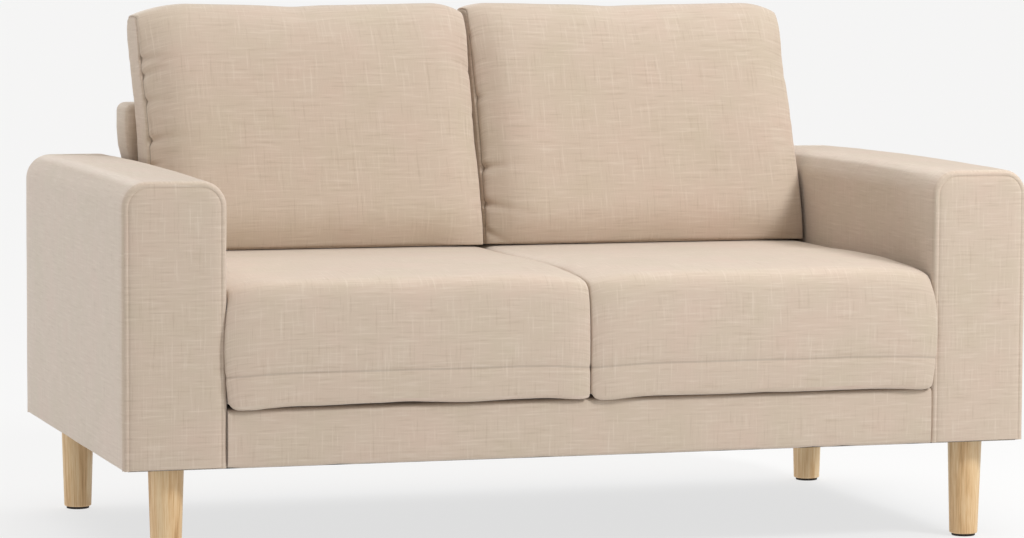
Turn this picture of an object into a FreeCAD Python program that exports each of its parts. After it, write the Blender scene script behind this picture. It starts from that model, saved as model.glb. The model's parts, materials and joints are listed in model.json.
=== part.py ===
import FreeCAD, Part
import math
import os
from FreeCAD import Vector

# Two-seat sofa. Millimetres. X runs along the sofa to a viewer's right, Y to the back, Z up.
# The origin is on the floor, under the middle of the whole sofa.

# ---------------------------------------------------------------- overall sizes
sofa_width = 1400.0
arm_depth = 745.0
arm_width = 154.0
arm_top = 565.0
back_top = 648.0
leg_height = 150.0
deck_top = 235.0

# ---------------------------------------------------------------- fabric and padding
fabric = 1.5
hem_width = 30.0
dust_cover_thickness = 1.0
dust_cover_inset = 10.0
arm_side_padding = 12.0
arm_end_padding = 12.0
arm_top_padding = 30.0
arm_top_radius = 38.0
arm_edge_radius = 11.0
rail_padding = 8.0
rail_cover_depth = 45.0
rail_edge_radius = 7.0
back_front_padding = 13.0
back_end_padding = 6.0
back_top_padding = 15.0
back_edge_radius = 14.0
insulator_thickness = 8.0

# ---------------------------------------------------------------- timber and boards
panel_thickness = 5.0
post_thickness = 25.0
top_rail_thickness = 25.0
bottom_rail_height = 45.0
seat_rail_thickness = 25.0
centre_rail_width = 40.0
centre_rail_drop = 14.0
corner_block_leg = 60.0
corner_block_drop = 22.0
back_post_width = 40.0
back_rail_height = 40.0
rear_board_thickness = 3.0

# ---------------------------------------------------------------- back frame
back_thickness = 86.0
back_setback = 2.0
webbing_thickness = 2.0
webbing_width = 60.0
webbing_count = 4

# ---------------------------------------------------------------- springs
springs_per_seat = 4
spring_wire = 3.8
spring_loop_width = 52.0
spring_loop_pitch = 24.0
spring_end_setback = 12.5
clip_plate = 1.2
clip_length = 14.0
clip_width = 18.0

# ---------------------------------------------------------------- legs
leg_top_diameter = 52.0
leg_bottom_diameter = 43.0
leg_side_inset = 74.5
front_leg_setback = 53.0
rear_leg_setback = 43.0
leg_edge_radius = 2.0
glide_diameter = 36.0
glide_thickness = 4.0
glide_edge_radius = 1.0
leg_bolt_length = 60.0
leg_bolt_in_leg = 32.0

# ---------------------------------------------------------------- bolts and inserts
bolt_diameter = 8.0
bolt_head_diameter = 14.0
bolt_head_height = 5.0
washer_diameter = 22.0
washer_thickness = 2.0
insert_diameter = 12.0
insert_length = 20.0
insert_flange_diameter = 22.0
insert_flange_thickness = 1.4
seat_bolt_setback = 82.0
back_bolt_rise = 100.0
back_bolt_drop = 48.0
bolt_hole_clearance = 0.5
thread_clearance = 0.05

# ---------------------------------------------------------------- cushions
seat_overhang = 14.0
seat_cushion_height = 187.5
seat_cushion_edge = 30.0
back_cushion_slack = 11.0
back_cushion_bottom = 134.0
back_cushion_crown = 96.0
back_cushion_height = 384.0
back_cushion_lean = 94.0
back_cushion_edge = 28.0
cushion_clearance = 0.5

# ---------------------------------------------------------------- places worked out from the sizes
sofa_depth = arm_depth + seat_overhang
front_y = seat_overhang - sofa_depth / 2
rear_y = front_y + arm_depth
arm_outer = sofa_width / 2
arm_inner = arm_outer - arm_width

hem_bottom = leg_height + dust_cover_thickness
frame_bottom = hem_bottom + fabric

arm_core_inner = arm_inner + fabric + arm_side_padding
arm_core_outer = arm_outer - fabric - arm_side_padding
arm_core_front = front_y + fabric + arm_end_padding
arm_core_rear = rear_y - fabric - arm_end_padding
arm_core_top = arm_top - fabric - arm_top_padding
arm_timber_inner = arm_core_inner + panel_thickness
arm_timber_outer = arm_core_outer - panel_thickness
arm_rail_bottom = arm_core_top - top_rail_thickness
bottom_rail_top = frame_bottom + bottom_rail_height

back_rear = rear_y - back_setback
back_front = back_rear - back_thickness
back_core_front = back_front + fabric + back_front_padding
back_timber_front = back_core_front + webbing_thickness
back_timber_rear = back_rear - fabric - rear_board_thickness
back_core_end = arm_inner - fabric - back_end_padding
back_flat_end = arm_inner - back_edge_radius
back_core_top = back_top - fabric - back_top_padding
back_rail_bottom = back_core_top - back_rail_height

rail_front = front_y + fabric + rail_padding
rail_rear = rail_front + seat_rail_thickness
rear_rail_front = back_front - seat_rail_thickness
side_rail_inner = arm_inner - seat_rail_thickness
insulator_bottom = deck_top - fabric - insulator_thickness
clip_height = spring_wire + 2 * clip_plate
seat_rail_top = insulator_bottom - clip_height
spring_height = seat_rail_top + clip_height / 2
deck_front = front_y + rail_cover_depth
back_cushion_width = arm_inner - cushion_clearance - back_cushion_slack / 2

SIDES = {"left": -1, "right": 1}


# ---------------------------------------------------------------- shared shapes
def block(x0, x1, y0, y1, z0, z1):
    """A plain block between two corners."""
    low = Vector(min(x0, x1), y0, z0)
    return Part.makeBox(abs(x1 - x0), y1 - y0, z1 - z0, low)


def rod(x, y, z, direction, length, radius):
    """A round bar that starts at a point and runs along a direction."""
    return Part.makeCylinder(radius, length, Vector(x, y, z), direction)


def is_upright(edge):
    """True for a straight edge that runs along Z."""
    ends = edge.Vertexes
    if len(ends) < 2 or edge.Curve.TypeId != "Part::GeomLine":
        return False
    step = ends[1].Point - ends[0].Point
    return abs(step.x) < 1e-6 and abs(step.y) < 1e-6


def arched_block(x0, x1, y0, y1, z0, z1, top_radius, edge_radius):
    """An arm's outer form: an arched section run from front to back, with softened ends."""
    low = min(x0, x1)
    high = max(x0, x1)
    quarter = top_radius * (1 - math.cos(math.pi / 4))
    corner = z1 - top_radius
    outline = Part.Wire([
        Part.makeLine(Vector(low, y0, corner), Vector(low, y0, z0)),
        Part.makeLine(Vector(low, y0, z0), Vector(high, y0, z0)),
        Part.makeLine(Vector(high, y0, z0), Vector(high, y0, corner)),
        Part.Arc(Vector(high, y0, corner), Vector(high - quarter, y0, z1 - quarter),
                 Vector(high - top_radius, y0, z1)).toShape(),
        Part.makeLine(Vector(high - top_radius, y0, z1), Vector(low + top_radius, y0, z1)),
        Part.Arc(Vector(low + top_radius, y0, z1), Vector(low + quarter, y0, z1 - quarter),
                 Vector(low, y0, corner)).toShape(),
    ])
    body = Part.Face(outline).extrude(Vector(0, y1 - y0, 0))
    if edge_radius <= 0:
        return body
    soft = []
    for edge in body.Edges:
        box = edge.BoundBox
        at_end = box.YLength < 1e-6
        along_floor = box.ZLength < 1e-6 and box.ZMax < z0 + 1e-6
        if at_end and not along_floor:
            soft.append(edge)
    return body.makeFillet(edge_radius, soft)


def soft_block(x0, x1, y0, y1, z0, z1, radius):
    """A block whose upright and top edges are rounded and whose base stays flat."""
    body = block(x0, x1, y0, y1, z0, z1)
    soft = []
    for edge in body.Edges:
        if is_upright(edge) or edge.BoundBox.ZMin > z1 - 1e-6:
            soft.append(edge)
    return body.makeFillet(radius, soft)


def rounded_all_over(body, radius):
    """The same body with every edge rounded."""
    return body.makeFillet(radius, body.Edges)


def joined(shapes):
    """Identical separate pieces kept together as one group."""
    return Part.makeCompound(shapes)


def drilled(shape, tools):
    """The shape with each of the tools cut from it."""
    for tool in tools:
        if shape.BoundBox.intersect(tool.BoundBox):
            shape = shape.cut(tool)
    return shape


# ---------------------------------------------------------------- bolts that hold arms, seat and back
def frame_bolt_places():
    """Side, where the washer sits, and the height and depth of each frame bolt."""
    places = []
    rear_post_centre = arm_core_rear - post_thickness / 2
    seat_bolt_height = frame_bottom + bottom_rail_height / 2
    for side in SIDES.values():
        for y in (rail_rear + seat_bolt_setback, rear_rail_front - seat_bolt_setback):
            places.append((side, side_rail_inner, y, seat_bolt_height))
        for height in (bottom_rail_top + back_bolt_rise, arm_rail_bottom - back_bolt_drop):
            places.append((side, back_core_end - back_post_width, rear_post_centre, height))
    return places


def frame_bolts():
    """Flanged bolts from inside the seat and back into the arms."""
    bolts = []
    for side, seat_x, y, z in frame_bolt_places():
        outward = Vector(side, 0, 0)
        head_x = seat_x - washer_thickness - bolt_head_height
        reach = arm_timber_inner + insert_length - seat_x + washer_thickness
        head = rod(side * head_x, y, z, outward, bolt_head_height, bolt_head_diameter / 2)
        shank = rod(side * (head_x + bolt_head_height), y, z, outward, reach, bolt_diameter / 2)
        bolts.append(head.fuse(shank).removeSplitter())
    return joined(bolts)


def frame_bolt_washers():
    """A washer under each bolt head."""
    washers = []
    for side, seat_x, y, z in frame_bolt_places():
        outward = Vector(side, 0, 0)
        x = side * (seat_x - washer_thickness)
        disc = rod(x, y, z, outward, washer_thickness, washer_diameter / 2)
        hole = rod(x, y, z, outward, washer_thickness, bolt_diameter / 2 + bolt_hole_clearance)
        washers.append(disc.cut(hole))
    return joined(washers)


def frame_bolt_inserts():
    """Threaded inserts in the arms' timber."""
    inserts = []
    for side, _, y, z in frame_bolt_places():
        outward = Vector(side, 0, 0)
        x = side * arm_timber_inner
        tube = rod(x, y, z, outward, insert_length, insert_diameter / 2)
        hole = rod(x, y, z, outward, insert_length, bolt_diameter / 2 + thread_clearance)
        inserts.append(tube.cut(hole))
    return joined(inserts)


def frame_bolt_holes():
    """Clearance holes along every frame bolt, wider where its insert sits."""
    tools = []
    for side, seat_x, y, z in frame_bolt_places():
        outward = Vector(side, 0, 0)
        through = arm_timber_inner - seat_x
        hole_radius = bolt_diameter / 2 + bolt_hole_clearance
        pocket_radius = insert_diameter / 2 + thread_clearance
        tools.append(rod(side * seat_x, y, z, outward, through, hole_radius))
        tools.append(rod(side * arm_timber_inner, y, z, outward, insert_length, pocket_radius))
    return tools


# ---------------------------------------------------------------- legs
def leg_places():
    """Name, side and depth of each leg's axis."""
    rows = {"front": front_y + front_leg_setback, "rear": rear_y - rear_leg_setback}
    places = []
    for row, y in rows.items():
        for side_name, side in SIDES.items():
            places.append((row + "_" + side_name, side * (arm_outer - leg_side_inset), y))
    return places


def leg(x, y):
    """A turned, tapered leg with a blind hole for its bolt."""
    height = leg_height - glide_thickness
    foot = Vector(x, y, glide_thickness)
    taper = Part.makeCone(leg_bottom_diameter / 2, leg_top_diameter / 2, height, foot)
    rim = [edge for edge in taper.Edges if edge.BoundBox.ZMax < glide_thickness + 1e-6]
    taper = taper.makeFillet(leg_edge_radius, rim)
    depth = leg_bolt_in_leg + thread_clearance
    radius = bolt_diameter / 2 + thread_clearance
    return taper.cut(rod(x, y, leg_height - depth, Vector(0, 0, 1), depth, radius))


def leg_glides():
    """A thin felt glide under each leg."""
    glides = []
    for _, x, y in leg_places():
        disc = rod(x, y, 0, Vector(0, 0, 1), glide_thickness, glide_diameter / 2)
        rim = [edge for edge in disc.Edges if edge.BoundBox.ZMax < 1e-6]
        glides.append(disc.makeFillet(glide_edge_radius, rim))
    return joined(glides)


def leg_bolts():
    """A hanger bolt from each leg up into the arm."""
    low = leg_height - leg_bolt_in_leg
    up = Vector(0, 0, 1)
    return joined([rod(x, y, low, up, leg_bolt_length, bolt_diameter / 2) for _, x, y in leg_places()])


def leg_inserts():
    """Flanged threaded inserts in the arms' bottom rails."""
    inserts = []
    up = Vector(0, 0, 1)
    for _, x, y in leg_places():
        tube = rod(x, y, frame_bottom, up, insert_length, insert_diameter / 2)
        flange_low = frame_bottom - insert_flange_thickness
        flange = rod(x, y, flange_low, up, insert_flange_thickness, insert_flange_diameter / 2)
        bore_length = insert_length + insert_flange_thickness
        bore = rod(x, y, flange_low, up, bore_length, bolt_diameter / 2 + thread_clearance)
        inserts.append(tube.fuse(flange).cut(bore).removeSplitter())
    return joined(inserts)


def leg_bolt_holes():
    """Holes up through the dust cover and into the bottom rails."""
    tools = []
    up = Vector(0, 0, 1)
    bolt_top = leg_height - leg_bolt_in_leg + leg_bolt_length
    for _, x, y in leg_places():
        through = bolt_top - leg_height
        tools.append(rod(x, y, leg_height, up, through, bolt_diameter / 2 + bolt_hole_clearance))
        pocket = insert_diameter / 2 + thread_clearance
        tools.append(rod(x, y, frame_bottom, up, insert_length, pocket))
    return tools


# ---------------------------------------------------------------- arms
def arm_post(side, rear):
    """A post at the front or the rear of an arm."""
    y0 = arm_core_rear - post_thickness if rear else arm_core_front
    return block(side * arm_timber_inner, side * arm_timber_outer, y0, y0 + post_thickness,
                 bottom_rail_top, arm_rail_bottom)


def arm_long_rail(side, z0, z1):
    """A rail that runs the whole depth of an arm."""
    return block(side * arm_timber_inner, side * arm_timber_outer, arm_core_front, arm_core_rear, z0, z1)


def arm_side_panel(side, x0):
    """A thin board that closes one side of an arm's frame."""
    return block(side * x0, side * (x0 + panel_thickness), arm_core_front, arm_core_rear,
                 frame_bottom, arm_core_top)


def arm_form(side, inset, bottom):
    """The arm's outer form, drawn in by a distance, down to a given height."""
    return arched_block(side * (arm_inner + inset), side * (arm_outer - inset), front_y + inset,
                        rear_y - inset, bottom, arm_top - inset,
                        arm_top_radius - inset, arm_edge_radius - inset)


def arm_padding(side):
    """Foam wrapped over the arm's frame, open underneath."""
    core = block(side * arm_core_inner, side * arm_core_outer, arm_core_front, arm_core_rear,
                 frame_bottom, arm_core_top)
    return arm_form(side, fabric, frame_bottom).cut(core)


def arm_panel_form(side):
    """The flat front panel, which ends where the arm's rounded edge begins."""
    inset = arm_edge_radius
    return arched_block(side * (arm_inner + inset), side * (arm_outer - inset), front_y,
                        front_y + fabric, hem_bottom + inset, arm_top - inset,
                        arm_top_radius - inset, 0)


def arm_cover(side):
    """The sewn arm cover: a thin shell with a turned-under hem and an opening for its front panel."""
    shell = arm_form(side, 0, hem_bottom).cut(arm_form(side, fabric, frame_bottom))
    mouth = block(side * (arm_inner + hem_width), side * (arm_outer - hem_width),
                  front_y + hem_width, rear_y - hem_width, hem_bottom, frame_bottom)
    return shell.cut(mouth).cut(arm_panel_form(side))


def arm_pieces(side_name, side):
    """Every piece of one arm, by name."""
    prefix = "arm_" + side_name + "_"
    return {
        prefix + "front_post": arm_post(side, False),
        prefix + "rear_post": arm_post(side, True),
        prefix + "top_rail": arm_long_rail(side, arm_rail_bottom, arm_core_top),
        prefix + "bottom_rail": arm_long_rail(side, frame_bottom, bottom_rail_top),
        prefix + "outer_panel": arm_side_panel(side, arm_timber_outer),
        prefix + "inner_panel": arm_side_panel(side, arm_core_inner),
        prefix + "padding": arm_padding(side),
        prefix + "cover": arm_cover(side),
        prefix + "front_panel": arm_panel_form(side),
    }


# ---------------------------------------------------------------- seat frame
def seat_side_rail(side):
    """A rail bolted against one arm."""
    return block(side * side_rail_inner, side * arm_inner, rail_rear, back_front,
                 frame_bottom, seat_rail_top)


def seat_corner_blocks():
    """Triangular glue blocks in the four inside corners of the seat frame."""
    blocks = []
    for side in SIDES.values():
        for y, inward in ((rail_rear, 1), (rear_rail_front, -1)):
            corner = Vector(side * side_rail_inner, y, frame_bottom)
            along_x = corner + Vector(-side * corner_block_leg, 0, 0)
            along_y = corner + Vector(0, inward * corner_block_leg, 0)
            outline = Part.makePolygon([corner, along_x, along_y, corner])
            height = seat_rail_top - corner_block_drop - frame_bottom
            blocks.append(Part.Face(outline).extrude(Vector(0, 0, height)))
    return joined(blocks)


def spring_rows():
    """Depths of the first and the last bar of every spring."""
    return rail_front + spring_end_setback, back_front - spring_end_setback


def spring_columns():
    """Where each spring lies across the seat."""
    count = 2 * springs_per_seat
    spacing = 2 * side_rail_inner / count
    return [-side_rail_inner + spacing * (place + 0.5) for place in range(count)]


def zigzag_spring(x):
    """One flat zig-zag wire spring from the front rail to the rear rail."""
    first, last = spring_rows()
    bars = round((last - first) / spring_loop_pitch) + 1
    pitch = (last - first) / (bars - 1)
    turn = pitch / 2
    reach = spring_loop_width / 2 - turn
    edges = []
    for bar in range(bars):
        y = first + bar * pitch
        way = 1 if bar % 2 == 0 else -1
        start = Vector(x - way * reach, y, spring_height)
        end = Vector(x + way * reach, y, spring_height)
        edges.append(Part.makeLine(start, end))
        if bar < bars - 1:
            outermost = Vector(x + way * (reach + turn), y + turn, spring_height)
            following = Vector(x + way * reach, y + pitch, spring_height)
            edges.append(Part.Arc(end, outermost, following).toShape())
    path = Part.Wire(edges)
    section = Part.Wire(Part.makeCircle(spring_wire / 2, Vector(x - reach, first, spring_height),
                                        Vector(1, 0, 0)))
    return path.makePipeShell([section], True, False)


def seat_springs():
    """All the seat's springs."""
    columns = spring_columns()
    pattern = zigzag_spring(columns[0])
    springs = []
    for x in columns:
        spring = pattern.copy()
        spring.translate(Vector(x - columns[0], 0, 0))
        springs.append(spring)
    return joined(springs)


def spring_clips():
    """Folded clips that hold the springs' ends to the rails."""
    clips = []
    hole_radius = spring_wire / 2 + thread_clearance
    for x in spring_columns():
        for y in spring_rows():
            body = block(x - clip_width / 2, x + clip_width / 2, y - clip_length / 2,
                         y + clip_length / 2, seat_rail_top, insulator_bottom)
            bore = rod(x - clip_width / 2, y, spring_height, Vector(1, 0, 0), clip_width, hole_radius)
            clips.append(body.cut(bore))
    return joined(clips)


def front_rail_padding():
    """Foam over the face and the top edge of the front rail."""
    outer = block(-arm_inner, arm_inner, front_y + fabric, deck_front, frame_bottom, deck_top - fabric)
    hollow = block(-arm_inner, arm_inner, rail_front, deck_front, frame_bottom, insulator_bottom)
    front_top = [edge for edge in outer.Edges
                 if edge.BoundBox.ZMin > deck_top - fabric - 1e-6
                 and edge.BoundBox.YMax < front_y + fabric + 1e-6]
    return outer.makeFillet(rail_edge_radius - fabric, front_top).cut(hollow)


def front_rail_cover():
    """Fabric over the front rail, turned under at the bottom."""
    outer = block(-arm_inner, arm_inner, front_y, deck_front, hem_bottom, deck_top)
    front_top = [edge for edge in outer.Edges
                 if edge.BoundBox.ZMin > deck_top - 1e-6 and edge.BoundBox.YMax < front_y + 1e-6]
    outer = outer.makeFillet(rail_edge_radius, front_top)
    inner = block(-arm_inner, arm_inner, front_y + fabric, deck_front, frame_bottom, deck_top - fabric)
    inner_top = [edge for edge in inner.Edges
                 if edge.BoundBox.ZMin > deck_top - fabric - 1e-6
                 and edge.BoundBox.YMax < front_y + fabric + 1e-6]
    inner = inner.makeFillet(rail_edge_radius - fabric, inner_top)
    mouth = block(-arm_inner, arm_inner, front_y + hem_width, deck_front, hem_bottom, frame_bottom)
    return outer.cut(inner).cut(mouth)


def seat_pieces():
    """Every piece of the seat's frame and platform, by name."""
    pieces = {
        "seat_front_rail": block(-arm_inner, arm_inner, rail_front, rail_rear,
                                 frame_bottom, seat_rail_top),
        "seat_rear_rail": block(-side_rail_inner, side_rail_inner, rear_rail_front, back_front,
                                frame_bottom, seat_rail_top),
        "seat_centre_rail": block(-centre_rail_width / 2, centre_rail_width / 2, rail_rear,
                                  rear_rail_front, frame_bottom, seat_rail_top - centre_rail_drop),
        "seat_corner_blocks": seat_corner_blocks(),
        "seat_springs": seat_springs(),
        "spring_clips": spring_clips(),
        "deck_insulator": block(-arm_inner, arm_inner, deck_front, back_front,
                                insulator_bottom, deck_top - fabric),
        "deck_fabric": block(-arm_inner, arm_inner, deck_front, back_front,
                             deck_top - fabric, deck_top),
        "front_rail_padding": front_rail_padding(),
        "front_rail_cover": front_rail_cover(),
    }
    for side_name, side in SIDES.items():
        pieces["seat_side_rail_" + side_name] = seat_side_rail(side)
    return pieces


# ---------------------------------------------------------------- back frame
def back_post(side):
    """An upright at one end of the back frame."""
    return block(side * (back_core_end - back_post_width), side * back_core_end,
                 back_timber_front, back_timber_rear, bottom_rail_top, back_rail_bottom)


def back_rail(z0, z1):
    """A rail across the whole back frame."""
    return block(-back_core_end, back_core_end, back_timber_front, back_timber_rear, z0, z1)


def back_webbing():
    """Elastic straps stretched across the front of the back frame."""
    straps = []
    gap = (back_rail_bottom - bottom_rail_top) / webbing_count
    for strap in range(webbing_count):
        middle = bottom_rail_top + gap * (strap + 0.5)
        straps.append(block(-back_core_end, back_core_end, back_core_front, back_timber_front,
                            middle - webbing_width / 2, middle + webbing_width / 2))
    return joined(straps)


def back_form(inset, bottom):
    """The back's outer form, drawn in by a distance, down to a given height."""
    return soft_block(-arm_inner + inset, arm_inner - inset, back_front + inset, back_rear - inset,
                      bottom, back_top - inset, back_edge_radius - inset)


def outside_back_panel():
    """The flat fabric panel that closes the back."""
    return block(-back_flat_end, back_flat_end, back_rear - fabric, back_rear,
                 hem_bottom + back_edge_radius, back_top - back_edge_radius)


def back_padding():
    """Foam over the front, the ends and the top of the back frame."""
    core = block(-back_core_end, back_core_end, back_core_front, back_rear,
                 frame_bottom, back_core_top)
    return back_form(fabric, frame_bottom).cut(core)


def back_cover():
    """The sewn back cover with a turned-under hem."""
    shell = back_form(0, hem_bottom).cut(back_form(fabric, frame_bottom))
    mouth = block(-arm_inner + hem_width, arm_inner - hem_width, back_front + hem_width,
                  back_rear - hem_width, hem_bottom, frame_bottom)
    return shell.cut(mouth).cut(outside_back_panel())


def back_pieces():
    """Every piece of the back frame, by name."""
    pieces = {
        "back_top_rail": back_rail(back_rail_bottom, back_core_top),
        "back_bottom_rail": back_rail(frame_bottom, bottom_rail_top),
        "back_centre_stile": block(-back_post_width / 2, back_post_width / 2, back_timber_front,
                                   back_timber_rear, bottom_rail_top, back_rail_bottom),
        "back_webbing": back_webbing(),
        "back_rear_board": block(-back_flat_end, back_flat_end, back_timber_rear,
                                 back_timber_rear + rear_board_thickness,
                                 frame_bottom, back_core_top),
        "back_padding": back_padding(),
        "back_cover": back_cover(),
        "outside_back_panel": outside_back_panel(),
    }
    for side_name, side in SIDES.items():
        pieces["back_post_" + side_name] = back_post(side)
    return pieces


def dust_cover():
    """Thin cloth closing the underside."""
    edge = arm_outer - dust_cover_inset
    return block(-edge, edge, front_y + dust_cover_inset, rear_y - dust_cover_inset,
                 leg_height, leg_height + dust_cover_thickness)


# ---------------------------------------------------------------- cushions
def seat_cushion_form(side, inset):
    """A seat cushion's outer form, drawn in by a distance."""
    low = deck_top + cushion_clearance
    body = block(side * (cushion_clearance + inset), side * (arm_inner - cushion_clearance - inset),
                 front_y - seat_overhang + inset, back_front - cushion_clearance - inset,
                 low + inset, low + seat_cushion_height - inset)
    return rounded_all_over(body, seat_cushion_edge - inset)


def back_cushion_form(side_name, inset):
    """A leaning, tapered back cushion's outer form, drawn in by a distance."""
    seam = -arm_inner + back_cushion_width + cushion_clearance
    left = -arm_inner + cushion_clearance if side_name == "left" else seam + cushion_clearance
    low = deck_top + cushion_clearance + seat_cushion_height + cushion_clearance
    lean_at_rail = back_cushion_lean * (back_top - low) / back_cushion_height
    rear_low = back_front - cushion_clearance - lean_at_rail
    rear_high = rear_low + back_cushion_lean
    outline = Part.makePolygon([
        Vector(left + inset, rear_low, low),
        Vector(left + inset, rear_low - back_cushion_bottom, low),
        Vector(left + inset, rear_high - back_cushion_crown, low + back_cushion_height),
        Vector(left + inset, rear_high, low + back_cushion_height),
        Vector(left + inset, rear_low, low),
    ])
    section = Part.Face(outline)
    if inset > 0:
        section = section.makeOffset2D(-inset, 2)
    body = section.extrude(Vector(back_cushion_width - 2 * inset, 0, 0))
    return rounded_all_over(body, back_cushion_edge - inset)


def cushion_pieces():
    """Foam cores and sewn covers of the four loose cushions, by name."""
    pieces = {}
    for side_name, side in SIDES.items():
        seat_core = seat_cushion_form(side, fabric)
        back_core = back_cushion_form(side_name, fabric)
        pieces["seat_cushion_foam_" + side_name] = seat_core
        pieces["seat_cushion_cover_" + side_name] = seat_cushion_form(side, 0).cut(seat_core)
        pieces["back_cushion_filling_" + side_name] = back_core
        pieces["back_cushion_cover_" + side_name] = back_cushion_form(side_name, 0).cut(back_core)
    return pieces


# ---------------------------------------------------------------- the whole sofa
def sofa_pieces():
    """Every piece of the sofa, by name."""
    fixed = {}
    for side_name, side in SIDES.items():
        fixed.update(arm_pieces(side_name, side))
    fixed.update(seat_pieces())
    fixed.update(back_pieces())
    fixed["dust_cover"] = dust_cover()
    tools = frame_bolt_holes() + leg_bolt_holes()
    pieces = {name: drilled(shape, tools) for name, shape in fixed.items()}
    pieces["frame_bolts"] = frame_bolts()
    pieces["frame_bolt_washers"] = frame_bolt_washers()
    pieces["frame_bolt_inserts"] = frame_bolt_inserts()
    for name, x, y in leg_places():
        pieces["leg_" + name] = leg(x, y)
    pieces["leg_glides"] = leg_glides()
    pieces["leg_bolts"] = leg_bolts()
    pieces["leg_inserts"] = leg_inserts()
    pieces.update(cushion_pieces())
    return pieces


os.makedirs("parts", exist_ok=True)
for piece_name, piece in sofa_pieces().items():
    piece.exportStep("parts/" + piece_name + ".step")
    print(piece_name, len(piece.Solids), round(piece.Volume))
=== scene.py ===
# %% [markdown]
# # A two-seat sofa with wooden legs
# The sofa's frame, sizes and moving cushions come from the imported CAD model. This lesson adds what
# an upholsterer adds: padded arms, a covered back and rail, four stuffed cushions, a linen-look
# weave, turned oak legs, and the studio that they stand in.

# %% Load the frame
import json
import math

import bpy
import numpy as np
from mathutils import Matrix, Vector, noise
from mathutils.bvhtree import BVHTree


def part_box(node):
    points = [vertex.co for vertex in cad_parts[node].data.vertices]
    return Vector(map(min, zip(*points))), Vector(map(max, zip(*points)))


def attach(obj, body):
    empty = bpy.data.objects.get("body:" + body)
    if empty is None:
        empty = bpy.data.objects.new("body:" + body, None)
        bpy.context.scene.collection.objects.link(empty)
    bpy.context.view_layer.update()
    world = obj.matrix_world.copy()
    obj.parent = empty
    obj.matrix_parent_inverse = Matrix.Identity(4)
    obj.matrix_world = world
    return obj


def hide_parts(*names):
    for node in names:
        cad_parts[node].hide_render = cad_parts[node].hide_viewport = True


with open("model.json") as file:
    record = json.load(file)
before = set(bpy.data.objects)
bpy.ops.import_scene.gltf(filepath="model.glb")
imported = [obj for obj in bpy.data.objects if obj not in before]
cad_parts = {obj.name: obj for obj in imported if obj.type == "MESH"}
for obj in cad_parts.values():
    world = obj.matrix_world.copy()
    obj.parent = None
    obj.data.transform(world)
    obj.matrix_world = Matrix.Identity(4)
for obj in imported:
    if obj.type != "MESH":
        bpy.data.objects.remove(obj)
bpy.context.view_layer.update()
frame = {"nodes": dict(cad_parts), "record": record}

MM = 0.001

# %% [markdown]
# ## The camera
# A long lens a little above seat height, standing to the sofa's left, keeps the uprights parallel
# and shows the front, the tops of the cushions and the outside of one arm. Its place is measured
# from the front of the arms, on the floor.

# %% Camera
FRONT_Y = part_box("arm_left_cover")[0].y
CAMERA_FROM_FRONT = Vector((-1.84985, -5.47687, 0.91016))
CAMERA_YAW = math.radians(17.519)
CAMERA_PITCH = math.radians(-4.781)
CAMERA_ROLL = math.radians(0.281)

camera_data = bpy.data.cameras.new("camera")
camera_data.sensor_width = 36.0
camera_data.lens = 138.82
camera = bpy.data.objects.new("camera", camera_data)
bpy.context.scene.collection.objects.link(camera)
aim = Matrix.Rotation(-CAMERA_YAW, 4, "Z") @ Matrix.Rotation(math.pi / 2 + CAMERA_PITCH, 4, "X")
camera.matrix_world = (Matrix.Translation(CAMERA_FROM_FRONT + Vector((0, FRONT_Y, 0)))
                       @ aim @ Matrix.Rotation(CAMERA_ROLL, 4, "Z"))
bpy.context.scene.camera = camera
print("camera at", [round(c, 3) for c in camera.location])

# %% [markdown]
# ## Small helpers for modelling
# Edges and faces are picked by where they are, then bevelled, inset or cut with the edit-mode
# operators.


# %% Modelling helpers
def select_only(piece):
    """Makes one piece the only selected and active object, in object mode."""
    if bpy.context.mode != "OBJECT":
        bpy.ops.object.mode_set(mode="OBJECT")
    bpy.ops.object.select_all(action="DESELECT")
    piece.select_set(True)
    bpy.context.view_layer.objects.active = piece


def add_block(name, low, high):
    """A block between two corners, with its place in its mesh."""
    bpy.ops.object.select_all(action="DESELECT")
    low = Vector(low)
    high = Vector(high)
    bpy.ops.mesh.primitive_cube_add(size=1, location=(low + high) / 2)
    piece = bpy.context.object
    piece.name = name
    piece.data.name = name
    piece.scale = high - low
    bpy.ops.object.transform_apply(location=True, rotation=True, scale=True)
    return piece


def pick(piece, kind, test):
    """Selects a piece's edges or faces by their corner points, and leaves it in edit mode."""
    select_only(piece)
    mesh = piece.data
    for group in (mesh.vertices, mesh.edges, mesh.polygons):
        group.foreach_set("select", [False] * len(group))
    items = mesh.edges if kind == "EDGE" else mesh.polygons
    for item in items:
        item.select = test([mesh.vertices[i].co for i in item.vertices])
    bpy.context.tool_settings.mesh_select_mode = (False, kind == "EDGE", kind == "FACE")
    bpy.ops.object.mode_set(mode="EDIT")


def all_at(points, axis, value):
    """True if every point lies at one height, depth or width."""
    return all(abs(p[axis] - value) < 1e-5 for p in points)


def bevel_picked(width, segments):
    """Rounds the picked edges."""
    bpy.ops.mesh.bevel(offset=width, offset_type="OFFSET", segments=segments, profile=0.5,
                       affect="EDGES", clamp_overlap=False)
    bpy.ops.object.mode_set(mode="OBJECT")


def slice_piece(piece, axis, low, high, step):
    """Cuts a piece right through at even steps, so that it has points to shape."""
    select_only(piece)
    bpy.context.tool_settings.mesh_select_mode = (True, False, False)
    bpy.ops.object.mode_set(mode="EDIT")
    count = max(1, round((high - low) / step))
    normal = Vector((0, 0, 0))
    normal[axis] = 1
    for cut in range(1, count):
        place = Vector((0, 0, 0))
        place[axis] = low + (high - low) * cut / count
        bpy.ops.mesh.select_all(action="SELECT")
        bpy.ops.mesh.bisect(plane_co=place, plane_no=normal)
    bpy.ops.object.mode_set(mode="OBJECT")


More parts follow.
